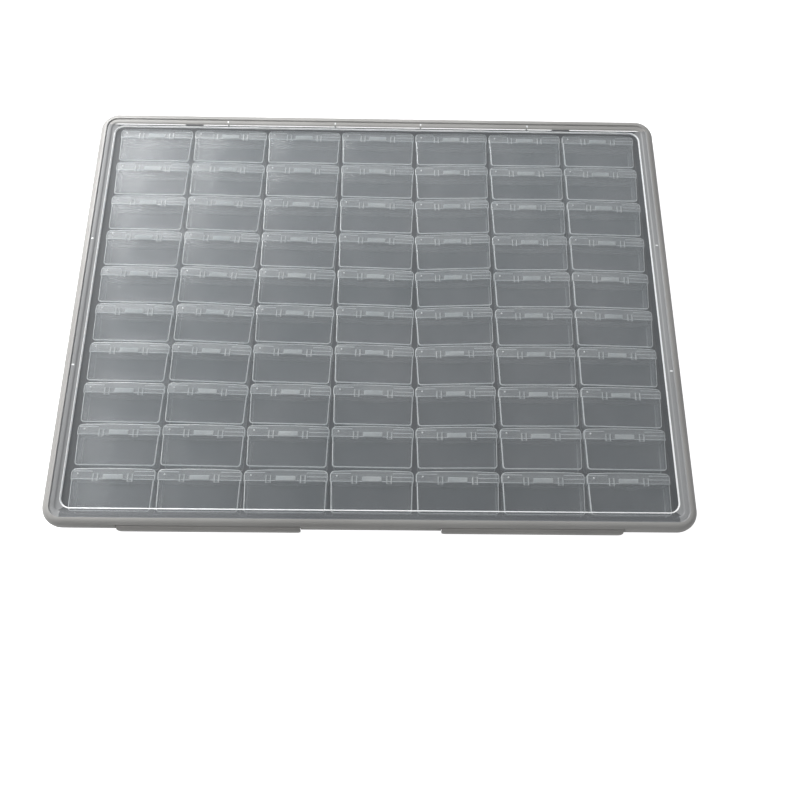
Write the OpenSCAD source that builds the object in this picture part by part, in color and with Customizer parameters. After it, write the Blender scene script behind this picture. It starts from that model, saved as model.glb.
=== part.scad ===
// Thin hinged case that holds seventy loose flip-lid bead boxes, lying flat in
// seven columns and ten rows. X runs along the width, +Y to the hinge at the back,
// Z up from the flat underside. Row 1 is the front row. All sizes in millimetres.

/* [Bead box] */
// Width of a bead box across its lid
box_w = 50.4; // [40:0.1:60]
// Length of a bead box from its foot to the end of its lid
box_l = 26.5; // [22:0.1:34]
// Thickness of a bead box between its two broad faces
box_t = 11; // [9:0.1:15]
// Wall of a bead box and its lid
box_wall = 1; // [0.8:0.05:1.2]
// How much narrower each side of the body is than the lid, at the mouth
body_inset = 0.5; // [0.3:0.05:1]
// Draft of each side of the body, from the mouth to the foot
body_draft = 0.9; // [0.3:0.05:1.5]
// Rounded corners at the foot of the body
body_r = 2; // [1:0.1:3]

/* [Flip lid] */
// Depth of the lid along the box
lid_l = 7.3; // [6:0.1:9]
// Rounded corners at the end of the lid
lid_r = 2.8; // [1.5:0.1:4]
// Bow of the lid's end face
lid_bow = 0.6; // [0.2:0.05:1]
// Length of the neck that the lid closes over
neck_l = 1.8; // [1.2:0.1:2.2]
// Gap round the neck under the lid
neck_gap = 0.3; // [0.15:0.05:0.4]
// Width of the thumb tab on the lid
tab_w = 12; // [8:0.5:14]
// Length of the thumb tab
tab_l = 3; // [2:0.1:4]
// Height that the tab and the ears stand proud
tab_h = 0.6; // [0.4:0.05:1]
// Distance from the middle to the centre of each ear
ear_x = 10.4; // [9.5:0.1:14]
// Width of an ear
ear_w = 3.4; // [2:0.1:4]
// Length of an ear that reaches past the lid onto the body
ear_drop = 1.4; // [0.5:0.1:2]

/* [Box hinge] */
// Radius of the hinge knuckles
knuckle_r = 1; // [0.9:0.05:1]
// Radius of the moulded hinge pin
box_pin_r = 0.45; // [0.4:0.05:0.5]
// Radial clearance of the pin in its lug
box_pin_gap = 0.05; // [0.02:0.01:0.1]
// Length of the lid's middle knuckle
knuckle_l = 12; // [8:0.5:16]
// Length of each lug on the body
lug_l = 3; // [2:0.1:5]
// Length of the low rib under the foot of the body
rib_l = 30; // [10:1:40]

/* [Layout] */
// Gap between two neighbouring columns
col_gap = 1.3; // [1:0.1:3]
// Gap between two neighbouring rows
row_gap = 0.7; // [0.7:0.1:2]
// How far the front row sits forward of the even spacing
front_shift = 0.8; // [0.5:0.1:1.2]
// Gap from the outer columns to the tray's side walls
side_gap = 4.9; // [1:0.1:10]
// Gap from the end rows to the tray's front and back walls
end_gap = 1.55; // [1.45:0.05:5]
// Largest turn of the boxes in each column, anticlockwise seen from above
col_turn = [-0.8, -2.4, -1.6, -1.6, 2.4, 0.8, -1.4];

/* [Tray] */
// Wall of the tray
wall_t = 1.4; // [1:0.1:2]
// Thickness of the tray's floor
floor_t = 1.4; // [1:0.1:2.5]
// Height of the tray at the parting line
tray_h = 11.6; // [10.6:0.1:12.2]
// Width of the rim, from its outer edge to the inside of the tray
rim_w = 8.8; // [8.6:0.1:12]
// Thickness of the tray's flange
flange_t = 2; // [1.6:0.1:2.2]
// Outer corner radius of the rim
rim_r = 12.5; // [10:0.5:20]
// Inner corner radius of the tray
tray_r = 4; // [2:0.5:5]

/* [Case lid] */
// Skin of the rim
skin = 1.4; // [1.2:0.1:1.6]
// Thickness of the clear panel
panel_t = 1.4; // [1:0.1:2]
// Distance from the outer edge to the step round the panel
panel_inset = 10.8; // [10:0.1:16]
// Corner radius of the step round the panel
panel_r = 6.5; // [4:0.5:10]
// Height of the step round the panel
step_h = 0.7; // [0.4:0.1:1]
// Width of the rounded crown of the rim
crown_w = 5; // [4.5:0.1:5.4]
// Height of the crown above the panel
crown_h = 2.1; // [1.8:0.1:3]
// Free height between the boxes and the panel
head_gap = 0.8; // [0.5:0.1:3]

/* [Case hinge] */
// Place of each hinge station, as a share of the case's width from its middle
hinge_at = 0.335; // [0.15:0.005:0.4]
// Distance of the hinge axis from the back edge
hinge_inset = 4; // [3.9:0.1:4.4]
// Radius of the case's hinge knuckles
case_knuckle_r = 2.2; // [1.8:0.1:2.2]
// Radius of the moulded pins on the lid
case_pin_r = 1; // [0.8:0.1:1.2]
// Radial clearance of the pins
case_pin_gap = 0.05; // [0.02:0.01:0.1]
// Length of the lid's middle knuckle
case_knuckle_l = 5.6; // [4:0.1:8]
// Length of each ear on the tray
case_ear_l = 3; // [2:0.1:5]

/* [Latches] */
// Place of each latch, as a share of the case's width from its middle
latch_at = 0.246; // [0.2:0.002:0.27]
// Width of a latch
latch_w = 107.6; // [60:0.1:120]
// How far a latch stands proud of the rim
latch_proud = 1.2; // [0.8:0.1:1.6]
// Chamfer at the ends of a latch
latch_cut = 2.8; // [1:0.1:4]
// Radius of the latch's hinge barrel
barrel_r = 1.3; // [1.1:0.1:1.3]
// Radius of the latch's moulded pins
latch_pin_r = 0.7; // [0.5:0.05:0.8]
// Radial clearance of the latch's pins
latch_pin_gap = 0.05; // [0.02:0.01:0.1]
// Length of a latch's pins
latch_pin_l = 2.5; // [1.5:0.1:3]
// Width of the catch bead on a latch
bead_w = 60; // [30:1:90]
// How far the tray's flange is cut back behind a latch
latch_seat = 1.2; // [0.8:0.1:1.3]
// Height of the catch bead
bead_h = 1.8; // [1.2:0.1:2]

/* [Hidden] */
COLS = 7;
ROWS = 10;
ROWS_APART = 3;          // the front rows whose boxes are each a node of their own
FREE = 0.3;              // clearance between pieces that move past each other
SLIP = 0.1;              // clearance between pieces that lie or turn on each other
JOIN = 0.5;              // how far one form runs into the next of the same piece
FINE = 48;

// bead box, measured from its foot at y 0 and its lower face at z 0
body_l = box_l - lid_l;                   // also the place of the hinge axis
mouth_w = box_w - 2 * body_inset;
foot_w = mouth_w - 2 * body_draft;
neck_z0 = box_wall + neck_gap / 2;
neck_z1 = box_t - box_wall - neck_gap - lid_lift(neck_l);
neck_w = box_w - 2 * (box_wall + neck_gap);
cell_w = box_w + col_gap;
cell_l = box_l + row_gap;
box_z = floor_t + SLIP + knuckle_r;       // lower face of a box in the tray

// case
case_w = COLS * cell_w - col_gap + 2 * (side_gap + rim_w);
case_d = ROWS * cell_l - row_gap + 2 * (end_gap + rim_w);
case_y = latch_proud / 2;                 // centres the whole object on its latches
wall_out = rim_w - wall_t;                // outer face of the tray's wall, from the edge
seam_z = tray_h + SLIP;
panel_z = box_z + box_t + tab_h + head_gap;
panel_top = panel_z + panel_t;
lid_top = panel_top + crown_h;
shoulder_z = seam_z + skin;
ledge_z = lid_top - 0.8;                  // the lower band inside the crown
ledge_u = rim_w - 0.6;
panel_edge = ledge_u - skin - 0.2;        // the panel reaches this far under the ledge
rib_w = 1.2;                              // thickness of a rib across the rim
rib_xs = [for (k = [-3.5, -1, 1, 3.5]) k * case_w / 13];   // ribs of the back rim
rib_ys = [for (k = [-1, 1]) k * case_d / 6.5];             // ribs of each side rim
hinge_x = hinge_at * case_w;
latch_x = latch_at * case_w;
flange_in = 0.4;                          // the tray's flange stays inside the lid's edge
hinge_y = case_d / 2 - hinge_inset;
hinge_cut = 1.2;                          // the flange ends this far before the hinge axis
tongue_h = 0.9;                           // ridge on the flange that the lid drops over
tongue_t = 1.2;

// latch, with u measured inwards from the rim's front edge
barrel_u = barrel_r;
barrel_z = seam_z + 1.2 + barrel_r;
latch_shoulder = barrel_z - 1.6;
latch_in = FREE / 3;
bead_top = tray_h - flange_t - FREE;
bead_u = latch_seat - SLIP;
latch_bottom = bead_top - bead_h - 0.3;

function lid_lift(l) = l * l / (2 * (box_t - box_wall));
function arc(cx, cy, rx, ry, a0, a1, n) =
    [for (i = [0:n]) let (a = a0 + (a1 - a0) * i / n) [cx + rx * cos(a), cy + ry * sin(a)]];
function row_node(kind, r) = str(kind, "_row_", r);
function cell_node(kind, r, c) = str(kind, "_r", r, "_c", c);
// the boxes turn most in the middle rows, and not at all in the front one
function turn(r, c) = col_turn[c - 1] * sin(180 * (r - 1) / ROWS);
function cell_x(c) = (c - (COLS + 1) / 2) * cell_w;
function cell_y(r) = (r - (ROWS + 1) / 2) * cell_l - (r == 1 ? front_shift : 0);

// a rectangle with true round corners, w by d, taken in by inset
module round_rect(w, d, r, inset = 0) {
    x = w / 2 - inset;
    y = d / 2 - inset;
    square([2 * (x - r), 2 * y], center = true);
    square([2 * x, 2 * (y - r)], center = true);
    for (sx = [-1, 1], sy = [-1, 1])
        translate([sx * (x - r), sy * (y - r)]) circle(r = r, $fn = FINE);
}

// a rod along X, centred on x
module rod_x(r, l, x = 0) {
    translate([x - l / 2, 0, 0]) rotate([0, 90, 0]) cylinder(r = r, h = l, $fn = FINE);
}

// an outline in u (inwards from the front edge) and z, run along X over a length
module along_front(l, x) {
    translate([x - l / 2, -case_d / 2, 0])
        rotate([90, 0, 90]) linear_extrude(l) children();
}

// ---- bead box ---------------------------------------------------------------

// outline of the body, tapered towards its foot, with round corners there
module body_outline(inset, top) {
    mouth = mouth_w / 2 - inset;
    foot = foot_w / 2 - inset;
    r = body_r - inset / 2;
    polygon(concat(
        [[mouth, top]], [[-mouth, top]],
        arc(-foot + r, inset + r, r, r, 180, 270, 6),
        arc(foot - r, inset + r, r, r, 270, 360, 6)
    ));
}

module bead_box() {
    mouth_y = body_l + neck_l;
    difference() {
        union() {
            linear_extrude(box_t) body_outline(0, body_l);
            translate([-neck_w / 2, body_l - JOIN, neck_z0])
                cube([neck_w, neck_l + JOIN, neck_z1 - neck_z0]);
            for (s = [-1, 1])
                translate([0, body_l, 0])
                    rod_x(knuckle_r, lug_l, s * (knuckle_l / 2 + 2 * SLIP + lug_l / 2));
            // low rib that keeps the box level on its hinge
            translate([-rib_l / 2, body_r, -knuckle_r]) cube([rib_l, box_wall, knuckle_r + JOIN]);
        }
        // the hollow stops short of the neck, whose walls are thicker
        translate([0, 0, box_wall])
            linear_extrude(box_t - 2 * box_wall) body_outline(box_wall, body_l - 2 * box_wall);
        translate([-neck_w / 2 + box_wall, body_l - 3 * box_wall, neck_z0 + box_wall])
            cube([neck_w - 2 * box_wall, neck_l + 4 * box_wall, neck_z1 - neck_z0 - 2 * box_wall]);
        // room for the lid's middle knuckle, and the bore of its pins
        translate([0, body_l, 0]) {
            rod_x(knuckle_r + SLIP, knuckle_l + 4 * SLIP);
            rod_x(box_pin_r + box_pin_gap, knuckle_l + 2 * lug_l + 8 * SLIP);
        }
    }
}

// outline of the lid, with round outer corners and a bowed end
module lid_outline(inset) {
    x = box_w / 2 - inset;
    y = box_l - inset;
    r = lid_r - inset / 2;
    bow = [for (i = [1:7]) let (t = i / 4 - 1) [-t * (x - r), y - lid_bow * t * t]];
    polygon(concat(
        [[-x, body_l + SLIP], [x, body_l + SLIP]],
        arc(x - r, y - lid_bow - r, r, r, 0, 80, 5), bow,
        arc(-x + r, y - lid_bow - r, r, r, 100, 180, 5)
    ));
}

module flip_lid() {
    difference() {
        union() {
            linear_extrude(box_t) lid_outline(0);
            translate([0, body_l, 0]) rod_x(knuckle_r, knuckle_l);
            // ears that guide the thumb past the body
            for (s = [-1, 1])
                translate([s * ear_x - ear_w / 2, body_l - ear_drop, box_t + SLIP])
                    cube([ear_w, lid_l / 2 + ear_drop, tab_h - SLIP]);
            for (s = [-1, 1])
                translate([s * ear_x - ear_w / 2, body_l + 2 * SLIP, box_t - JOIN])
                    cube([ear_w, lid_l / 2 - 2 * SLIP, tab_h + JOIN]);
            translate([-tab_w / 2, body_l + 2 * SLIP, box_t - JOIN])
                cube([tab_w, tab_l, tab_h + JOIN]);
        }
        // the hollow, open towards the body
        translate([-box_w / 2 + box_wall, body_l - box_wall, box_wall - neck_gap / 2])
            cube([box_w - 2 * box_wall, lid_l - lid_bow, box_t - 2 * box_wall + neck_gap / 2]);
        // room for the lugs of the body
        for (s = [-1, 1])
            translate([0, body_l, 0])
                rod_x(knuckle_r + SLIP, lug_l + 2 * SLIP,
                    s * (knuckle_l / 2 + SLIP + lug_l / 2 + SLIP));
    }
    translate([0, body_l, 0]) rod_x(box_pin_r, knuckle_l + 2 * lug_l);
}

// sets a bead box or its lid in its cell, turned about the middle of the box
module in_cell(r, c) {
    translate([cell_x(c), cell_y(r) + case_y, box_z])
        rotate([0, 0, turn(r, c)]) translate([0, -box_l / 2, 0]) children();
}

// ---- tray -------------------------------------------------------------------

module case_tray() {
    color([0.42, 0.43, 0.45]) translate([0, case_y, 0]) {
        difference() {
            union() {
                linear_extrude(tray_h)
                    round_rect(case_w, case_d, tray_r + wall_t, wall_out);
                translate([0, 0, tray_h - flange_t]) linear_extrude(flange_t)
                    difference() {
                        round_rect(case_w, case_d, rim_r - flange_in, flange_in);
                        translate([-case_w / 2, hinge_y - hinge_cut])
                            square([case_w, case_d]);
                        for (s = [-1, 1])
                            translate([s * latch_x - latch_w / 2 - FREE, -case_d])
                                square([latch_w + 2 * FREE, case_d / 2 + latch_seat]);
                    }
                tray_tongue();
                for (s = [-1, 1]) tray_ears(s * hinge_x);
            }
            translate([0, 0, floor_t])
                linear_extrude(lid_top) round_rect(case_w, case_d, tray_r, rim_w);
            for (s = [-1, 1]) translate([s * hinge_x, hinge_y, tray_h]) {
                rod_x(case_knuckle_r + FREE, case_knuckle_l + 4 * SLIP);
                rod_x(case_pin_r + case_pin_gap, case_knuckle_l + 2 * case_ear_l + 8 * SLIP);
            }
        }
    }
}

// ridge on the flange, round the front corners and along the sides
module tray_tongue() {
    u = skin + 4 * SLIP;
    translate([0, 0, tray_h - JOIN]) linear_extrude(tongue_h + JOIN) difference() {
        round_rect(case_w, case_d, rim_r - u, u);
        round_rect(case_w, case_d, rim_r - u - tongue_t, u + tongue_t);
        translate([-case_w / 2, case_d / 2 - rim_r - hinge_inset]) square([case_w, case_d]);
    }
}

// two bored ears of a hinge station, with the web that joins them to the wall
module tray_ears(x) {
    web_y = case_d / 2 - wall_out - JOIN;
    for (s = [-1, 1]) {
        ear = x + s * (case_knuckle_l / 2 + 2 * SLIP + case_ear_l / 2);
        translate([0, hinge_y, tray_h]) rod_x(case_knuckle_r, case_ear_l, ear);
        translate([ear - case_ear_l / 2, web_y, tray_h - case_knuckle_r])
            cube([case_ear_l, hinge_y - web_y, case_knuckle_r]);
    }
}

// ---- case lid ---------------------------------------------------------------

// section of the rim: a hollow crown, the lower band inside it and the drop to the panel
module rim_section() {
    top = panel_top + step_h;
    polygon(concat(
        [[0, seam_z]], arc(crown_w, shoulder_z, crown_w, lid_top - shoulder_z, 180, 90, 10),
        [[crown_w + 0.4, ledge_z], [ledge_u, ledge_z], [ledge_u + 0.6, top],
         [ledge_u + 0.6, panel_z], [panel_edge, panel_z], [panel_edge, ledge_z - skin]],
        arc(crown_w, shoulder_z, crown_w - skin, lid_top - shoulder_z - skin, 90, 180, 10),
        [[skin, seam_z]]
    ));
}

// the section run round the four sides and corners of the case
module rim() {
    for (s = [0, 180]) {
        rotate([0, 0, s]) translate([rim_r - case_w / 2, -case_d / 2, 0])
            rotate([90, 0, 90]) linear_extrude(case_w - 2 * rim_r) rim_section();
        rotate([0, 0, s]) translate([case_w / 2, rim_r - case_d / 2, 0])
            rotate([90, 0, 180]) linear_extrude(case_d - 2 * rim_r) rim_section();
    }
    for (sx = [-1, 1], sy = [-1, 1])
        translate([sx * (case_w / 2 - rim_r), sy * (case_d / 2 - rim_r), 0])
            rotate([0, 0, sy > 0 ? (sx > 0 ? 0 : 90) : (sx > 0 ? 270 : 180)])
                rotate_extrude(angle = 90, $fn = FINE)
                    translate([rim_r, 0]) mirror([1, 0]) rim_section();
}

// stiffening rib across the hollow of the crown, in the same u and z as the section
module rim_rib() {
    linear_extrude(rib_w, center = true) polygon(concat(
        [[skin / 2, shoulder_z + JOIN]],
        arc(crown_w, shoulder_z, crown_w - skin / 2, lid_top - shoulder_z - skin / 2, 175, 90, 6),
        [[ledge_u - skin, ledge_z - skin / 2], [ledge_u - skin, shoulder_z + JOIN]]
    ));
}

module case_lid() {
    color([0.75, 0.76, 0.77]) translate([0, case_y, 0]) {
        difference() {
            union() {
                rim();
                translate([0, 0, panel_z]) linear_extrude(panel_t)
                    round_rect(case_w, case_d, tray_r, ledge_u);
                translate([0, 0, panel_top - JOIN]) linear_extrude(step_h + JOIN) difference() {
                    round_rect(case_w, case_d, tray_r, ledge_u);
                    round_rect(case_w, case_d, panel_r, panel_inset);
                }
                for (x = rib_xs) translate([x, case_d / 2, 0])
                    rotate([90, 0, -90]) rim_rib();
                for (s = [-1, 1], y = rib_ys) translate([s * case_w / 2, y, 0])
                    rotate([90, 0, s > 0 ? 180 : 0]) rim_rib();
                for (s = [-1, 1]) lid_knuckle(s * hinge_x);
                for (s = [-1, 1], e = [-1, 1])
                    latch_lug(s * latch_x + e * (latch_w / 2 + FREE + latch_pin_l / 2 + SLIP));
            }
            // the seat of each latch under the crown, and the bores of its pins
            for (s = [-1, 1]) {
                along_front(latch_w + 2 * FREE, s * latch_x)
                    translate([-1, 0]) square([barrel_u + barrel_r + FREE + 1,
                                               barrel_z + barrel_r + 2 * FREE]);
                translate([s * latch_x, barrel_u - case_d / 2, barrel_z])
                    rod_x(latch_pin_r + latch_pin_gap, latch_w + 2 * latch_pin_l + 2 * FREE);
            }
        }
    }
}

// middle knuckle of a hinge station on its rib, with the pins that enter the ears
module lid_knuckle(x) {
    rib_t = 2 * case_pin_r;
    translate([x, hinge_y, tray_h]) {
        rod_x(case_knuckle_r, case_knuckle_l);
        rod_x(case_pin_r, case_knuckle_l + 2 * case_ear_l);
        translate([-case_knuckle_l / 2, -rib_t / 2, 0])
            cube([case_knuckle_l, rib_t, lid_top - skin / 2 - tray_h]);
    }
}

// block inside the crown that carries one pin of a latch
module latch_lug(x) {
    depth = barrel_u + barrel_r + 1;
    along_front(latch_pin_l + 2 * SLIP, x)
        polygon([[skin / 2, seam_z + 2 * SLIP], [skin / 2, barrel_z + barrel_r],
                 [depth, barrel_z + barrel_r], [depth, seam_z + tongue_h + FREE],
                 [skin, seam_z + tongue_h + FREE]]);
}

// ---- latches ----------------------------------------------------------------

module latch(side) {
    x = side * latch_x;
    color([0.55, 0.54, 0.53]) translate([0, case_y, 0]) {
        difference() {
            along_front(latch_w, x) polygon([
                [-latch_proud, latch_bottom], [-latch_proud, latch_shoulder],
                [barrel_u - barrel_r / 2, barrel_z + barrel_r / 2], [barrel_u, barrel_z],
                [latch_in, barrel_z], [latch_in, latch_bottom]]);
            // chamfered ends
            for (s = [-1, 1])
                translate([x + s * latch_w / 2, -case_d / 2, latch_shoulder])
                    rotate([90, 0, 0]) linear_extrude(4 * latch_proud, center = true)
                        polygon([[0, 0], [-s * latch_cut, latch_bottom - latch_shoulder],
                                 [-s * latch_cut, latch_bottom - latch_shoulder - 1],
                                 [s, latch_bottom - latch_shoulder - 1], [s, 0]]);
        }
        translate([0, barrel_u - case_d / 2, barrel_z]) {
            rod_x(barrel_r, latch_w, x);
            rod_x(latch_pin_r, latch_w + 2 * latch_pin_l, x);
        }
        // bead that snaps in below the tray's flange
        along_front(bead_w, x) polygon([
            [latch_in - JOIN, bead_top - bead_h], [latch_in - JOIN, bead_top],
            [bead_u - 0.5, bead_top], [bead_u, bead_top - 0.4],
            [bead_u, bead_top - bead_h + 0.8], [latch_in, bead_top - bead_h]]);
    }
}

case_tray();
case_lid();
latch(-1);  // latch_left
latch(1);  // latch_right
for (r = [1:ROWS_APART], c = [1:COLS]) {
    color([0.62, 0.66, 0.70]) in_cell(r, c) bead_box();
    color([0.82, 0.85, 0.88]) in_cell(r, c) flip_lid();
}
for (r = [ROWS_APART + 1:ROWS]) {
    for (c = [1:COLS]) color([0.62, 0.66, 0.70]) in_cell(r, c) bead_box();
    for (c = [1:COLS]) color([0.82, 0.85, 0.88]) in_cell(r, c) flip_lid();
}
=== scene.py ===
import math
import random

import bmesh
import bpy
from mathutils import Matrix, Vector


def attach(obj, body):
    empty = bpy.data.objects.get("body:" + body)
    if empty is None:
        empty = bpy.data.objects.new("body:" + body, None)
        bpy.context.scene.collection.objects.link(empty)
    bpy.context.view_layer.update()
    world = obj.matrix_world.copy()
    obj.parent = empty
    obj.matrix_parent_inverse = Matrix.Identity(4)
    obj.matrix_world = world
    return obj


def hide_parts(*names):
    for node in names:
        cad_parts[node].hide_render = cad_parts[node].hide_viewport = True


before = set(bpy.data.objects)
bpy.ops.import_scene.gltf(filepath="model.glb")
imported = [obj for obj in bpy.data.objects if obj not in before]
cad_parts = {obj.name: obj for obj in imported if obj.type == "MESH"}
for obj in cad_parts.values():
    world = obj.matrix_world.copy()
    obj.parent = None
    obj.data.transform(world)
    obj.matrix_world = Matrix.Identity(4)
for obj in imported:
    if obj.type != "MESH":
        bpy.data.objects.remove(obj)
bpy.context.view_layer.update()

# ---- Case tray --------------------------------------------------------------
# The lower half of the case: a shallow pan injection moulded in smoky plastic,
# with a flange round its mouth, a low ridge on the flange that the lid drops
# over, and two pairs of ears at the back that carry the lid's hinge pins.
mm = 0.001
tiny = 1e-6                       # less than any real step between two edges
case_w, case_d = 388 * mm, 292 * mm
case_y = 0.6 * mm                 # the latches stand proud in front, so the case sits back
case_front, case_back = case_y - case_d / 2, case_y + case_d / 2
rim_r = 12.5 * mm
tray_h = 11.6 * mm
hinge_y, hinge_z = case_back - 4 * mm, tray_h
hinge_stations = (-130 * mm, 130 * mm)
knuckle_r, ear_half = 2.2 * mm, 1.5 * mm
latch_x, latch_w = 95.448 * mm, 107.6 * mm
crease = math.radians(35)


def everything(bm):
    """All of a mesh's geometry, as the cutting operators take it."""
    return bm.verts[:] + bm.edges[:] + bm.faces[:]


def soften(bm, edges, offset, segments=2):
    """Rounds edges off, and gives the faces that this makes."""
    return bmesh.ops.bevel(bm, geom=edges, offset=offset, segments=segments, profile=0.5,
                           affect="EDGES", material=-1)["faces"]


def round_plate(bm, inset, radius, z, segments=10):
    """A flat face with round corners, inset from the case's outer edge."""
    made = bmesh.ops.create_grid(bm, x_segments=1, y_segments=1, size=0.5)["verts"]
    bmesh.ops.scale(bm, verts=made, vec=(case_w - 2 * inset, case_d - 2 * inset, 1))
    bmesh.ops.translate(bm, verts=made, vec=(0, case_y, z))
    bmesh.ops.bevel(bm, geom=made, offset=radius, segments=segments, profile=0.5,
                    affect="VERTICES", material=-1)
    return max((f for f in bm.faces if abs(f.calc_center_median().z - z) < tiny),
               key=lambda f: f.calc_area())


def carry(bm, face, inward, up, material=0):
    """Takes the open face of a moulding inwards and up, and leaves a wall behind it."""
    if inward > 0:
        walls = bmesh.ops.inset_region(bm, faces=[face], thickness=inward, use_boundary=True,
                                       use_even_offset=True)["faces"]
    else:
        before = set(bm.faces)
        face = bmesh.ops.extrude_discrete_faces(bm, faces=[face])["faces"][0]
        walls = [f for f in bm.faces if f not in before and f != face]
    bmesh.ops.translate(bm, verts=face.verts[:], vec=(0, 0, up))
    for wall in walls:
        wall.material_index = material
    return face


def carry_along(bm, face, steps, material=0):
    """Carries an open face along a profile, given as steps (inward, up) in millimetres."""
    for inward, up in steps:
        face = carry(bm, face, inward * mm, up * mm, material)
    return face


def close_rim(bm):
    """Joins an upper and a lower skin along the edge they share, so they make one wall."""
    bmesh.ops.remove_doubles(bm, verts=bm.verts[:], dist=tiny)
    bmesh.ops.recalc_face_normals(bm, faces=bm.faces[:])


def trim_back(bm, y, sides=0):
    """Cuts a moulding off behind y, and closes the cut ends of its walls."""
    bmesh.ops.bisect_plane(bm, geom=everything(bm), plane_co=(0, y, 0), plane_no=(0, 1, 0),
                           clear_outer=True)
    bmesh.ops.holes_fill(bm, edges=[e for e in bm.edges if e.is_boundary], sides=sides)


def cuboid(bm, size, centre):
    """A plain block, given by its size and its middle."""
    made = bmesh.ops.create_cube(bm, size=1)["verts"]
    bmesh.ops.scale(bm, verts=made, vec=size)
    bmesh.ops.translate(bm, verts=made, vec=centre)
    return made


def block(bm, low, high, round_off=0.0, segments=2, material=0):
    """A block between two corners, with its edges rounded off."""
    low, high = Vector(low), Vector(high)
    made = cuboid(bm, high - low, (low + high) / 2)
    if round_off:
        edges = list({e for v in made for e in v.link_edges})
        made = {v for f in soften(bm, edges, round_off, segments) for v in f.verts}
    for face in {f for v in made for f in v.link_faces}:
        face.material_index = material


def rod(bm, centre, radius, length, round_off=0.0, segments=24):
    """A rod along X, with its ends rounded off."""
    made = bmesh.ops.create_cone(bm, cap_ends=True, segments=segments, radius1=radius,
                                 radius2=radius, depth=length)["verts"]
    bmesh.ops.rotate(bm, verts=made, matrix=Matrix.Rotation(math.pi / 2, 3, "Y"))
    bmesh.ops.translate(bm, verts=made, vec=centre)
    if round_off:
        edges = {e for v in made for e in v.link_edges}
        rings = [e for e in edges if abs(e.verts[0].co.x - e.verts[1].co.x) < tiny]
        soften(bm, rings, round_off)


def as_mesh(name, bm):
    """A bmesh as a mesh."""
    mesh = bpy.data.meshes.new(name)
    bm.to_mesh(mesh)
    bm.free()
    return mesh


def as_object(name, bm, materials):
    """A bmesh as an object of its own, smooth up to the crease angle."""
    mesh = as_mesh(name, bm)
    for material in materials:
        mesh.materials.append(material)
    mesh.shade_smooth()
    mesh.set_sharp_from_angle(angle=crease)
    obj = bpy.data.objects.new(name, mesh)
    bpy.context.scene.collection.objects.link(obj)
    return obj


def fit(obj, body, finish, *nodes):
    """Puts a piece on its body in place of the plain solids."""
    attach(obj, body)
    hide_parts(*nodes)


def cut_away(obj, low, high):
    """Cuts a square seat out of a piece."""
    tool = bmesh.new()
    block(tool, low, high)
    cutter = as_object("cutter", tool, [])
    cut = obj.modifiers.new("seat", "BOOLEAN")
    cut.operation, cut.solver, cut.object = "DIFFERENCE", "EXACT", cutter
    shaped = bpy.data.meshes.new_from_object(
        obj.evaluated_get(bpy.context.evaluated_depsgraph_get()))
    obj.modifiers.clear()
    obj.data = shaped
    bpy.data.objects.remove(cutter)


def cut_latch_seats(obj, depth, top):
    """Cuts the two seats in the front edge that the latches lie in."""
    half = latch_w / 2 + 0.3 * mm
    for side in (-1, 1):
        cut_away(obj, (side * latch_x - half, -case_d, 0),
                 (side * latch_x + half, case_front + depth, top))


def moulding_marks():
    """Cloudy tone, fine specks and a faint surface ripple of moulded plastic."""
    group = bpy.data.node_groups.new("moulding_marks", "ShaderNodeTree")
    face = group.interface
    face.new_socket("Cloud Scale", in_out="INPUT", socket_type="NodeSocketFloat")
    for name in ("Cloud", "Speck", "Ripple"):
        face.new_socket(name, in_out="OUTPUT", socket_type="NodeSocketFloat")
    n, link = group.nodes, group.links.new
    given, out = n.new("NodeGroupInput"), n.new("NodeGroupOutput")
    place = n.new("ShaderNodeTexCoord")
    cloud, specks, ripple = (n.new("ShaderNodeTexNoise") for _ in range(3))
    for tex, detail in ((cloud, 4), (specks, 2), (ripple, 1)):
        tex.inputs["Detail"].default_value = detail
        link(place.outputs["Object"], tex.inputs["Vector"])
    ripple.inputs["Scale"].default_value = 160
    specks.inputs["Scale"].default_value = 900
    link(given.outputs["Cloud Scale"], cloud.inputs["Scale"])
    link(cloud.outputs["Fac"], out.inputs["Cloud"])
    link(specks.outputs["Fac"], out.inputs["Speck"])
    link(ripple.outputs["Fac"], out.inputs["Ripple"])
    return group


marks = moulding_marks()


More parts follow.
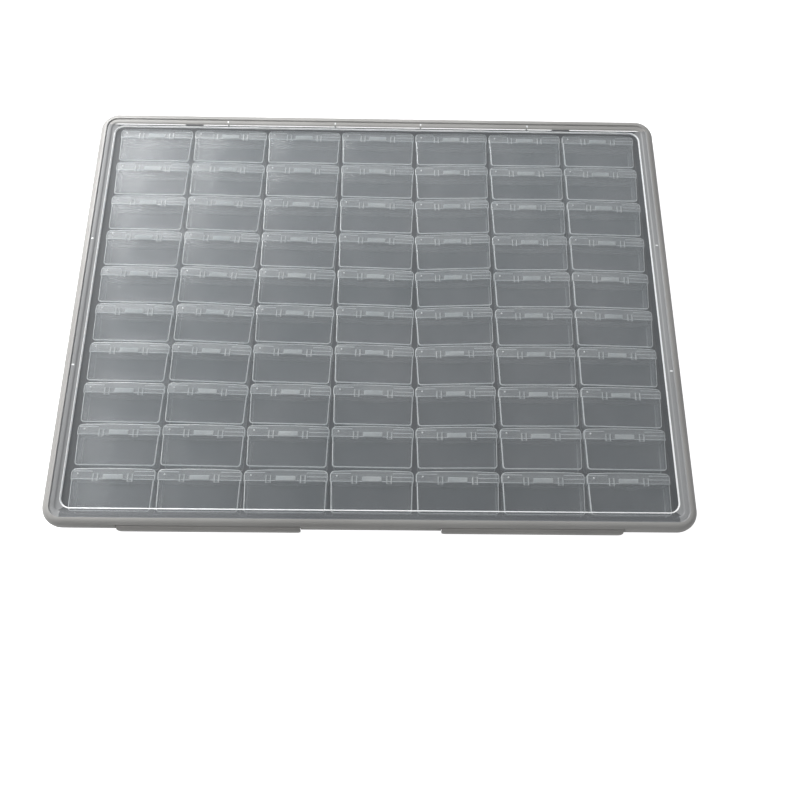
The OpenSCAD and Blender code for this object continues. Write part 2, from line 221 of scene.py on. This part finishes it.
def plastic(name, dark, light, through=None, rough=(0.3, 0.45), ripple=0.15, speck=0.05,
            cloud_scale=20, tint=None, specular=0.5):
    """Moulded plastic. through is its cover face on and at a grazing angle; None is solid."""
    mat = bpy.data.materials.new(name)
    mat.use_nodes = True
    n, link = mat.node_tree.nodes, mat.node_tree.links.new
    shader = n["Principled BSDF"]
    shader.inputs["Specular IOR Level"].default_value = specular
    marked = n.new("ShaderNodeGroup")
    marked.node_tree = marks
    marked.inputs["Cloud Scale"].default_value = cloud_scale
    colour = n.new("ShaderNodeMix")
    colour.data_type = "RGBA"
    colour.inputs["A"].default_value = (*dark, 1)
    colour.inputs["B"].default_value = (*light, 1)
    if tint:
        given = n.new("ShaderNodeAttribute")
        given.attribute_name = tint
        link(given.outputs["Fac"], colour.inputs["Factor"])
    else:
        spread = n.new("ShaderNodeMapRange")
        spread.inputs["From Min"].default_value = 0.35
        spread.inputs["From Max"].default_value = 0.65
        link(marked.outputs["Cloud"], spread.inputs["Value"])
        link(spread.outputs["Result"], colour.inputs["Factor"])
    link(colour.outputs["Result"], shader.inputs["Base Color"])
    shine = n.new("ShaderNodeMapRange")
    shine.inputs["To Min"].default_value, shine.inputs["To Max"].default_value = rough
    link(marked.outputs["Cloud"], shine.inputs["Value"])
    link(shine.outputs["Result"], shader.inputs["Roughness"])
    if through:
        edge = n.new("ShaderNodeLayerWeight")
        edge.inputs["Blend"].default_value = 0.35
        cover = n.new("ShaderNodeMapRange")
        cover.inputs["To Min"].default_value, cover.inputs["To Max"].default_value = through
        link(edge.outputs["Facing"], cover.inputs["Value"])
        haze = n.new("ShaderNodeMath")
        haze.operation = "MULTIPLY_ADD"
        haze.inputs[1].default_value = speck
        link(marked.outputs["Speck"], haze.inputs[0])
        link(cover.outputs["Result"], haze.inputs[2])
        link(haze.outputs["Value"], shader.inputs["Alpha"])
    bump = n.new("ShaderNodeBump")
    bump.inputs["Strength"].default_value = ripple
    bump.inputs["Distance"].default_value = 0.3 * mm
    link(marked.outputs["Ripple"], bump.inputs["Height"])
    link(bump.outputs["Normal"], shader.inputs["Normal"])
    return mat


tray_plastic = plastic("smoky_tray", (0.075, 0.083, 0.095), (0.11, 0.117, 0.125),
                       rough=(0.35, 0.5), cloud_scale=14)
bm = bmesh.new()
face = round_plate(bm, 0.4 * mm, rim_r - 0.4 * mm, tray_h - 2 * mm)
carry_along(bm, face, ((0, 2.0), (8.0, 0), (0.15, -0.05), (0.2, -0.25), (0.05, -0.4), (0, -8.3),
                       (0.1, -0.55), (0.4, -0.5), (0.5, -0.15)))
face = round_plate(bm, 0.4 * mm, rim_r - 0.4 * mm, tray_h - 2 * mm)
carry_along(bm, face, ((7.0, 0), (0, -8.0), (0.12, -0.8), (0.5, -0.6), (0.8, -0.2)))
close_rim(bm)
trim_back(bm, hinge_y - 1.2 * mm)
bmesh.ops.recalc_face_normals(bm, faces=bm.faces[:])
tray = as_object("case_tray_shell", bm, [tray_plastic])
cut_latch_seats(tray, 1.2 * mm, 20 * mm)
fit(tray, "case", "tray_plastic", "case_tray")

# The ears and their knuckles take a paler copy of the smoky plastic: painted light, standing in
# for light that comes through the thin moulding.
lit_ear_plastic = plastic("hinge_ear_painted_light", (0.24, 0.245, 0.25), (0.30, 0.305, 0.31), (0.6, 0.9),
                      rough=(0.35, 0.5), cloud_scale=40)
ridge_back = 130.1 * mm           # the ridge ends short of the hinge stations
bm = bmesh.new()
ridge = round_plate(bm, 1.8 * mm, rim_r - 1.8 * mm, tray_h - 0.2 * mm)
ridge = carry_along(bm, ridge, ((0, 1.0), (0.15, 0.1), (0.9, 0), (0.15, -0.1), (0, -1.0)))
bmesh.ops.delete(bm, geom=[ridge], context="FACES")
trim_back(bm, ridge_back, 12)
for x in hinge_stations:
    for side in (-1, 1):
        ear = x + side * 4.5 * mm
        before = set(bm.faces)
        rod(bm, (ear, hinge_y, hinge_z), knuckle_r, 2 * ear_half, 0.25 * mm)
        block(bm, (ear - ear_half, hinge_y - 3.9 * mm, hinge_z - knuckle_r),
              (ear + ear_half, hinge_y, hinge_z - 0.1 * mm), 0.2 * mm)
        for f in set(bm.faces) - before:
            f.material_index = 1
fit(as_object("tray_ridge_and_ears", bm, [tray_plastic, lit_ear_plastic]), "case", "tray_plastic",
    "case_tray")

# ---- Bead boxes -------------------------------------------------------------
# Seventy small clear boxes lie flat in seven columns and ten rows. Each is
# moulded in clear plastic with a drafted body, a neck that its lid closes over
# and two hinge lugs. They are loose, so each column lies a little crooked.
rows, columns = range(1, 11), range(1, 8)
single_rows = 3                   # the rows in front have a piece for each box
box_w, box_l, box_t = 50.4 * mm, 26.5 * mm, 11 * mm
mouth_w, foot_w = 49.4 * mm, 48.4 * mm
body_l, lid_l = 19.2 * mm, 7.3 * mm
neck_l = 1.8                      # these three in millimetres, like the steps that use them
mouth_t, hollow_t = 6.7, 9.0
cell_w, cell_l = 51.7 * mm, 27.2 * mm
front_gap = 0.8 * mm              # the front row lies this much nearer the front
box_z = 2.5 * mm
lug_x = 7.7 * mm
box_hinge_r = 1 * mm
column_turn = (-0.8, -2.4, -1.6, -1.6, 2.4, 0.8, -1.4)      # degrees, at the column's middle
clear_from, clear_over = 17 * mm, 5 * mm                    # where a box's resting face turns paler: painted haze of light through the neighbouring walls
on_wall, on_edge_highlight, on_rest = range(3)                        # a box's materials

clear_wall = plastic("clear_box_wall", (0.36, 0.40, 0.42), (0.46, 0.49, 0.51), (0.06, 0.75),
                     rough=(0.12, 0.22), ripple=0.04, speck=0.01, cloud_scale=60)
# The rounded edges, the neck's steps and the lids' thin ridges are painted near white: painted
# highlights, on top of their real gloss.
edge_highlight_plastic = plastic("clear_box_edge_painted_highlight", (0.74, 0.79, 0.81), (0.88, 0.91, 0.92), (0.7, 0.95),
                     rough=(0.08, 0.16), ripple=0.05, speck=0.02, cloud_scale=90)
# The resting face's colour runs from dark to pale along its tone attribute.
resting_face = plastic("box_resting_face", (0.055, 0.075, 0.105), (0.36, 0.38, 0.39),
                       (0.45, 0.6), rough=(0.2, 0.3), ripple=0.03, speck=0.01, tint="tone")


def wall_template():
    """One bead box body at its own origin: foot at y 0, lower face at z 0."""
    bm = bmesh.new()
    made = cuboid(bm, (mouth_w, body_l, box_t), (0, body_l / 2, box_t / 2))
    foot = [v for v in made if v.co.y < tiny]
    bmesh.ops.scale(bm, verts=foot, vec=(foot_w / mouth_w, 1, 1))
    corners = [e for e in bm.edges if all(v.co.y < tiny for v in e.verts)
               and abs(e.verts[0].co.z - e.verts[1].co.z) > mm]
    soften(bm, corners, 2 * mm, 4)
    for f in bm.faces:
        if f.normal.z < -0.9:
            f.material_index = on_rest
    mouth = max(bm.faces, key=lambda f: f.calc_center_median().y)
    steps = ((1.15, 0, on_wall), (0, neck_l, on_wall), (0.15, 0, on_edge_highlight), (0.7, 0, on_edge_highlight),
             (0.15, 0, on_edge_highlight), (0, -neck_l - 1.5, on_wall))
    for inward, along, material in steps:
        before = set(bm.faces)
        if inward:
            bmesh.ops.inset_region(bm, faces=[mouth], thickness=inward * mm,
                                   use_even_offset=True)
        else:
            mouth = bmesh.ops.extrude_discrete_faces(bm, faces=[mouth])["faces"][0]
            bmesh.ops.translate(bm, verts=mouth.verts[:], vec=(0, along * mm, 0))
        for f in set(bm.faces) - before - {mouth}:
            f.material_index = material
    for widen, along in ((1.035, 0), (0.985, -15.8), (0.97, -0.9)):
        mouth = bmesh.ops.extrude_discrete_faces(bm, faces=[mouth])["faces"][0]
        centre = mouth.calc_center_median()
        bmesh.ops.scale(bm, verts=mouth.verts[:], space=Matrix.Translation(-centre),
                        vec=(widen, 1, widen if along else hollow_t / mouth_t))
        bmesh.ops.translate(bm, verts=mouth.verts[:], vec=(0, along * mm, 0))
    rims = [e for e in bm.edges if not all(v.co.y > body_l - tiny for v in e.verts)
            and (all(v.co.z < tiny for v in e.verts)
                 or all(v.co.z > box_t - tiny for v in e.verts))]
    for f in soften(bm, rims, 0.6 * mm):
        f.material_index = on_edge_highlight
    for x in (-21.5, -17, 17, 21.5):
        resting = [f for f in bm.faces if f.material_index == on_rest]
        parts = {g for f in resting for g in (f, *f.edges, *f.verts)}
        bmesh.ops.bisect_plane(bm, geom=list(parts), plane_co=(x * mm, 0, 0), plane_no=(1, 0, 0))
    for side in (-1, 1):
        rod(bm, (side * lug_x, body_l, 0), box_hinge_r, 3 * mm, 0.15 * mm, 12)
    block(bm, (-15 * mm, 2 * mm, -1 * mm), (15 * mm, 3 * mm, 0.2 * mm), 0.15 * mm, 1)
    return as_mesh("bead_box_template", bm)


def cells(places, template):
    """A bmesh of one template set in every cell of these (row, column) places."""
    bm = bmesh.new()
    tone = bm.verts.layers.float.new("tone")
    for row, column in places:
        before = set(bm.verts)
        bm.from_mesh(template)
        made = [v for v in bm.verts if v not in before]
        # Each box's tone sets how pale its resting face is: a random part, paler towards the foot
        # and darker towards the lid end, and paler towards the sides as painted haze of light
        # through the neighbouring boxes' walls.
        tones = random.Random(row * 31 + column * 7)
        shade = tones.uniform(0.05, 0.2)
        left, right = tones.uniform(0.1, 0.5), tones.uniform(0.1, 0.5)
        for v in made:
            to_side = min(1, max(0, abs(v.co.x) - clear_from) / clear_over)
            side_haze = left if v.co.x < 0 else right
            v[tone] = shade + 0.22 * (1 - v.co.y / body_l) + to_side * side_haze
        turn = math.radians(column_turn[column - 1] * math.sin(math.pi * (row - 1) / len(rows)))
        x = (column - 4) * cell_w
        y = (row - 5.5) * cell_l - (front_gap if row == 1 else 0) + case_y
        bmesh.ops.translate(bm, verts=made, vec=(0, -box_l / 2, box_z))
        bmesh.ops.rotate(bm, verts=made, matrix=Matrix.Rotation(turn, 3, "Z"))
        bmesh.ops.translate(bm, verts=made, vec=(x, y, 0))
    return bm


def lay_out(template, materials, finish, mover, names):
    """Lays a template in every cell: names are (piece, pieces in a row, node, nodes in a row)."""
    piece, row_piece, node, row_node = names
    for row in rows:
        if row <= single_rows:
            for column in columns:
                body = f"{mover}_{column}" if row == 1 else "case"
                obj = as_object(f"{piece}_r{row}_c{column}", cells([(row, column)], template),
                                materials)
                fit(obj, body, finish, f"{node}_r{row}_c{column}")
        else:
            places = [(row, column) for column in columns]
            obj = as_object(f"{row_piece}_row_{row}", cells(places, template), materials)
            fit(obj, "case", finish, f"{row_node}_row_{row}")


lay_out(wall_template(), [clear_wall, edge_highlight_plastic, resting_face], "box_plastic", "front_box",
        ("bead_box", "bead_boxes", "box", "boxes"))

# ---- Flip lids --------------------------------------------------------------
# Each bead box has its own lid, moulded in the same clear plastic. It has a
# bowed end, a thumb tab with grip ribs, two ears that reach onto the body, and
# a knuckle with pins that snap into the body's lugs.
lid_wall = plastic("clear_lid_wall", (0.45, 0.48, 0.50), (0.58, 0.61, 0.62), (0.17, 0.8),
                   rough=(0.24, 0.34), ripple=0.05, speck=0.02, cloud_scale=60)
lid_grip = plastic("lid_grip", (0.62, 0.66, 0.67), (0.78, 0.80, 0.80), (0.4, 0.8),
                   rough=(0.1, 0.2), ripple=0.05, cloud_scale=120)
# The gate mark is a small real dome, painted near white: a painted glint.
gate_mark_glint = plastic("gate_mark_glint", (0.86, 0.88, 0.88), (0.96, 0.97, 0.97), rough=(0.05, 0.1),
                    ripple=0.02)
on_grip, on_gate_glint = 2, 3                                     # a flip lid's other two materials
end_bow, lid_wall_t = 0.6 * mm, 1 * mm
ear_x, ear_w = 10.4 * mm, 3.4 * mm
ear_low, ear_high = body_l - 1.4 * mm, body_l + 3.6 * mm


def lid_template():
    """One flip lid at its box's origin."""
    bm = bmesh.new()
    cuboid(bm, (box_w, lid_l - 0.1 * mm, box_t), (0, body_l + lid_l / 2 + 0.05 * mm, box_t / 2))
    corners = [e for e in bm.edges if all(v.co.y > box_l - tiny for v in e.verts)
               and abs(e.verts[0].co.z - e.verts[1].co.z) > mm]
    soften(bm, corners, 2.6 * mm, 4)
    for x in (-18, -12, -6, 0, 6, 12, 18):
        bmesh.ops.bisect_plane(bm, geom=everything(bm), plane_co=(x * mm, 0, 0),
                               plane_no=(1, 0, 0))
    for v in bm.verts:
        if v.co.y > body_l + 2 * mm:
            v.co.y -= end_bow * (v.co.x / (box_w / 2)) ** 2
    rims = [e for e in bm.edges if abs(e.verts[0].co.z - e.verts[1].co.z) < tiny
            and len(e.link_faces) == 2
            and abs(e.link_faces[0].normal.dot(e.link_faces[1].normal)) < 0.5
            and not all(v.co.y < body_l + 1 * mm for v in e.verts)]
    for f in soften(bm, rims, 0.5 * mm):
        f.material_index = on_edge_highlight
    front = [f for f in bm.faces if f.normal.y < -0.9 and f.calc_center_median().y < body_l + mm]
    before = set(bm.faces)
    bmesh.ops.inset_region(bm, faces=front, thickness=lid_wall_t, use_even_offset=True)
    for f in set(bm.faces) - before:
        f.material_index = on_edge_highlight
    grown = bmesh.ops.extrude_face_region(bm, geom=front)
    moved = [g for g in grown["geom"] if isinstance(g, bmesh.types.BMVert)]
    bmesh.ops.delete(bm, geom=front, context="FACES")
    bmesh.ops.translate(bm, verts=moved, vec=(0, 6 * mm, 0))
    bmesh.ops.scale(bm, verts=moved, vec=(0.97, 1, 1))
    rod(bm, (0, body_l, 0), box_hinge_r, 12 * mm, 0.15 * mm, 12)
    rod(bm, (0, body_l, 0), 0.45 * mm, 18 * mm, 0, 8)
    top = box_t + 0.6 * mm
    for side in (-1, 1):
        x = side * ear_x
        for post in (-1, 1):
            middle = x + post * 1.35 * mm
            block(bm, (middle - 0.35 * mm, ear_low, box_t + 0.12 * mm),
                  (middle + 0.35 * mm, ear_high, top), 0.15 * mm, 1, on_grip)
        block(bm, (x - ear_w / 2, ear_low, box_t + 0.12 * mm),
              (x + ear_w / 2, body_l - 0.7 * mm, top - 0.05 * mm), 0.15 * mm, 1)
        block(bm, (x - ear_w / 2, body_l + 3.2 * mm, box_t - 0.2 * mm),
              (x + ear_w / 2, ear_high, top - 0.2 * mm), 0.1 * mm, 1)
    block(bm, (-6 * mm, body_l + 0.2 * mm, box_t - 0.3 * mm),
          (6 * mm, body_l + 3.2 * mm, box_t + 0.25 * mm), 0.15 * mm, 1, on_grip)
    for rib in range(4):
        y = body_l + (0.55 + 0.72 * rib) * mm
        block(bm, (-5.6 * mm, y, box_t), (5.6 * mm, y + 0.3 * mm, top), 0.1 * mm, 1, on_edge_highlight)
    # Thin ridges across the lid top, painted near white as highlight lines.
    for y, x0, x1 in ((5.0, -24.4, -12.5), (5.0, 12.5, 24.4), (2.6, 12.5, 24.8),
                      (0.1, -24.6, 24.6)):
        block(bm, (x0 * mm, body_l + y * mm, box_t - 0.2 * mm),
              (x1 * mm, body_l + (y + 0.3) * mm, box_t + 0.12 * mm), 0.08 * mm, 1, on_edge_highlight)
    # The gate mark's dome, in its painted glint.
    gate = bmesh.ops.create_uvsphere(bm, u_segments=8, v_segments=5, radius=0.6 * mm)["verts"]
    bmesh.ops.translate(bm, verts=gate, vec=(-21 * mm, body_l + 3.6 * mm, box_t - 0.1 * mm))
    for f in {f for v in gate for f in v.link_faces}:
        f.material_index = on_gate_glint
    return as_mesh("flip_lid_template", bm)


lay_out(lid_template(), [lid_wall, edge_highlight_plastic, lid_grip, gate_mark_glint], "flip_plastic", "front_flip",
        ("bead_box_lid", "bead_box_lids", "flip_lid", "flip_lids"))

# ---- Case lid ---------------------------------------------------------------
# The upper half of the case, moulded in one piece: a rounded hollow rim in
# frosted plastic, a lower band inside it and a step down to the clear panel.
# Short ribs cross the rim, and knuckles with pins hang it on the tray's ears.
rim_plastic = plastic("frosted_rim", (0.33, 0.323, 0.312), (0.40, 0.392, 0.379), (0.9, 0.98),
                      rough=(0.4, 0.52), ripple=0.1, speck=0.03, cloud_scale=9)
panel_plastic = plastic("clear_panel", (0.51, 0.54, 0.56), (0.59, 0.61, 0.63), (0.07, 0.38),
                        rough=(0.27, 0.38), ripple=0.05, speck=0.01, cloud_scale=12)
# The panel step's bead and the rim's short ribs are painted near white: painted highlights.
panel_step_highlight = plastic("panel_edge", (0.85, 0.87, 0.88), (0.96, 0.96, 0.96), (0.9, 0.97),
                      rough=(0.08, 0.15), ripple=0.05, speck=0.02, cloud_scale=30)
band_plastic = plastic("rim_band", (0.25, 0.262, 0.275), (0.31, 0.322, 0.335), (0.25, 0.85),
                       rough=(0.4, 0.5), ripple=0.05, speck=0.02, cloud_scale=9)
# At the left and right sides the band takes a paler copy of its plastic: painted sheen of the
# light falling on the sides.
side_band_sheen = plastic("side_rim_band_painted_sheen", (0.37, 0.375, 0.38), (0.43, 0.435, 0.44), (0.55, 0.9),
                    rough=(0.4, 0.5), ripple=0.05, speck=0.02, cloud_scale=9)
lid_z, shoulder, lid_top, panel_top = 11.7, 13.1, 18.4, 16.3     # millimetres
frosted, clear, bright, band, band_sheen_at_side = range(5)


def crown(bm, face, width, rise, steps):
    """Carries an open face up from the shoulder over a quarter of an ellipse, in millimetres."""
    last = (0.0, shoulder)
    for i in range(1, steps + 1):
        a = math.radians(90 / steps * i)
        now = (width * (1 - math.cos(a)), shoulder + rise * math.sin(a))
        face = carry(bm, face, (now[0] - last[0]) * mm, (now[1] - last[1]) * mm)
        last = now
    return face


bm = bmesh.new()
outer = round_plate(bm, 0, rim_r, lid_z * mm, 12)
outer = carry(bm, outer, 0, (shoulder - lid_z) * mm)
outer = crown(bm, outer, 5.0, lid_top - shoulder, 12)
outer = carry_along(bm, outer, ((0.15, -0.1), (0.2, -0.55), (0.2, -0.15), (2.45, 0),
                                (0.15, -0.1), (0.5, -0.4), (0.15, -0.1)), band)
bmesh.ops.delete(bm, geom=[outer], context="FACES_ONLY")
inner = round_plate(bm, 10.4 * mm, 6.8 * mm, 17.0 * mm, 12)
inner = carry_along(bm, inner, ((0.35, -0.08), (0.12, -0.5), (0.3, -0.12)), bright)
inner.material_index = clear
step = [e for e in bm.edges if e.is_boundary and e.verts[0].co.z > panel_top * mm]
for f in bmesh.ops.bridge_loops(bm, edges=step)["faces"]:
    f.material_index = band
under = round_plate(bm, 0, rim_r, lid_z * mm, 12)
under = carry(bm, under, 1.4 * mm, 0)
under = carry(bm, under, 0, (shoulder - lid_z) * mm)
under = crown(bm, under, 3.6, 3.9, 6)
under = carry_along(bm, under, ((0.3, -0.7), (1.3, -0.1), (0, -1.3)), band)
under.material_index = clear
close_rim(bm)
# Band faces at the back take the frosted rim's plastic, and those at the sides the paler copy,
# with its painted sheen.
for f in bm.faces:
    centre = f.calc_center_median()
    if f.material_index == band and centre.y > case_back - 9.6 * mm:
        f.material_index = frosted
    elif f.material_index == band and abs(centre.x) > case_w / 2 - 12 * mm:
        f.material_index = band_sheen_at_side
lid = as_object("case_lid_shell", bm,
                [rim_plastic, panel_plastic, panel_step_highlight, band_plastic, side_band_sheen])
cut_latch_seats(lid, 2.9 * mm, 16.1 * mm)
fit(lid, "lid", "lid_plastic", "case_lid")

bm = bmesh.new()
for x in hinge_stations:
    rod(bm, (x, hinge_y, hinge_z), knuckle_r, 5.6 * mm, 0.25 * mm)
    rod(bm, (x, hinge_y, hinge_z), 1 * mm, 11.6 * mm)
    block(bm, (x - 2.8 * mm, hinge_y - 1 * mm, hinge_z),
          (x + 2.8 * mm, hinge_y + 1 * mm, (lid_top - 1) * mm), 0.2 * mm)
rib_out, rib_in = 5.9 * mm, 7.6 * mm
rib_low, rib_high = 14 * mm, 17.7 * mm
# The short ribs across the rim take the panel step's near-white plastic: painted highlights.
for x in (-105, -30, 30, 105):
    block(bm, ((x - 0.5) * mm, case_back - rib_in, rib_low),
          ((x + 0.5) * mm, case_back - rib_out, rib_high), 0.1 * mm, 1, 1)
for side in (-1, 1):
    low, high = sorted((side * (case_w / 2 - rib_in), side * (case_w / 2 - rib_out)))
    for y in (-45, 45):
        block(bm, (low, case_y + (y - 0.5) * mm, rib_low),
              (high, case_y + (y + 0.5) * mm, rib_high), 0.1 * mm, 1, 1)
    for end in (-1, 1):
        x = side * latch_x + end * (latch_w / 2 + 1.65 * mm)
        block(bm, (x - 1.35 * mm, case_front + 0.9 * mm, 12.95 * mm),
              (x + 1.35 * mm, case_front + 3.6 * mm, 15.5 * mm), 0.15 * mm, 1)
fit(as_object("case_lid_ribs_and_knuckles", bm, [rim_plastic, panel_step_highlight]),
    "lid", "lid_plastic", "case_lid")

# ---- Latches ----------------------------------------------------------------
# Two long flaps along the front edge, moulded in the same frosted plastic. Each
# turns on pins at its top and has a bead inside that snaps below the flange.
latch_plastic = plastic("frosted_latch", (0.32, 0.31, 0.297), (0.39, 0.378, 0.362), (0.9, 0.98),
                        rough=(0.38, 0.5), ripple=0.1, cloud_scale=14, specular=0.3)
latch_low, latch_proud = 7.2 * mm, 1.2 * mm
pin_y, pin_z = case_front + 1.3 * mm, 14.2 * mm
for side, name in ((-1, "left"), (1, "right")):
    bm = bmesh.new()
    block(bm, (-latch_w / 2, case_front - latch_proud, latch_low),
          (latch_w / 2, case_front + 0.1 * mm, 13.9 * mm))
    for v in bm.verts:
        if v.co.z > 13 * mm:
            v.co.z = 12.6 * mm if v.co.y < case_front else pin_z
    ends = [e for e in bm.edges if all(v.co.z < 8 * mm for v in e.verts)
            and abs(e.verts[0].co.y - e.verts[1].co.y) > mm]
    soften(bm, ends, 2.6 * mm, 5)
    rims = [e for e in bm.edges if all(v.co.y < case_front - mm for v in e.verts)]
    soften(bm, rims, 0.35 * mm)
    block(bm, (-30 * mm, case_front - 0.2 * mm, 7.5 * mm),
          (30 * mm, case_front + 1.1 * mm, 9.3 * mm), 0.35 * mm)
    rod(bm, (0, pin_y, pin_z), 1.3 * mm, latch_w, 0.2 * mm)
    rod(bm, (0, pin_y, pin_z), 0.7 * mm, latch_w + 5 * mm, 0, 12)
    bmesh.ops.translate(bm, verts=bm.verts[:], vec=(side * latch_x, 0, 0))
    fit(as_object(f"latch_flap_{name}", bm, [latch_plastic]), f"{name}_latch",
        "latch_plastic", f"latch_{name}")

# ---- Floor, light and camera ------------------------------------------------
# A plain white sweep under soft light, and the photograph's view from above the
# front edge. A broad soft light behind on the left hazes the clear panel there,
# a smaller one near the left side lifts that flank, and a weak one fills in.


def shown_white(tree, strength, indirect):
    """Full strength where the camera sees it, and less in the light that it throws."""
    seen = tree.nodes.new("ShaderNodeLightPath")
    glow = tree.nodes.new("ShaderNodeMapRange")
    glow.inputs["To Min"].default_value = indirect
    tree.links.new(seen.outputs["Is Camera Ray"], glow.inputs["Value"])
    tree.links.new(glow.outputs["Result"], strength)


bpy.ops.mesh.primitive_plane_add(size=8)
floor = bpy.context.object
floor.name = "floor"
floor.location.z = -0.2 * mm
white = bpy.data.materials.new("white_floor")
white.use_nodes = True
paint = white.node_tree.nodes["Principled BSDF"]
paint.inputs["Base Color"].default_value = (0.55, 0.55, 0.55, 1)
paint.inputs["Roughness"].default_value = 0.9
paint.inputs["Emission Color"].default_value = (1, 1, 1, 1)
shown_white(white.node_tree, paint.inputs["Emission Strength"], 0.3)
floor.data.materials.append(white)

world = bpy.data.worlds.new("studio")
world.use_nodes = True
sky = world.node_tree.nodes["Background"]
sky.inputs["Color"].default_value = (0.96, 0.98, 1, 1)
shown_white(world.node_tree, sky.inputs["Strength"], 0.32)
bpy.context.scene.world = world


def soft_light(name, place, aim, size, watts):
    """A rectangular soft light that faces a point."""
    data = bpy.data.lights.new(name, "AREA")
    data.shape, data.size, data.size_y = "RECTANGLE", *size
    data.energy = watts
    lamp = bpy.data.objects.new(name, data)
    lamp.location = place
    lamp.rotation_euler = (Vector(aim) - Vector(place)).to_track_quat("-Z", "Y").to_euler()
    lamp.visible_camera = False
    bpy.context.scene.collection.objects.link(lamp)


soft_light("window_left", (-0.55, 0.62, 0.62), (-0.12, 0.08, 0), (0.5, 0.4), 11.5)
soft_light("near_left", (-0.5, -0.02, 0.42), (-0.18, 0.0, 0.01), (0.15, 0.4), 1.2)
soft_light("fill_right", (1.2, -0.3, 1.4), (0, 0, 0), (1.2, 1.2), 3)

camera = bpy.data.objects.new("camera", bpy.data.cameras.new("camera"))
bpy.context.scene.collection.objects.link(camera)
bpy.context.scene.camera = camera
camera.data.sensor_width = 36
camera.data.lens = 36
camera.data.clip_start = 0.01
stand = (0.0105, -0.2311, 0.4830)
pitch, yaw, roll = (math.radians(a) for a in (70.42, 2.12, 2.59))
ahead = Vector((math.sin(yaw) * math.cos(pitch), math.cos(yaw) * math.cos(pitch),
                -math.sin(pitch)))
right = Vector((math.cos(yaw), -math.sin(yaw), 0))
over = right.cross(ahead)
across = math.cos(roll) * right + math.sin(roll) * over
upward = -math.sin(roll) * right + math.cos(roll) * over
turned = Matrix((across, upward, -ahead)).transposed().to_4x4()
camera.matrix_world = Matrix.Translation(stand) @ turned

scene = bpy.context.scene
scene.view_settings.view_transform = "Standard"
scene.cycles.transparent_max_bounces = 48
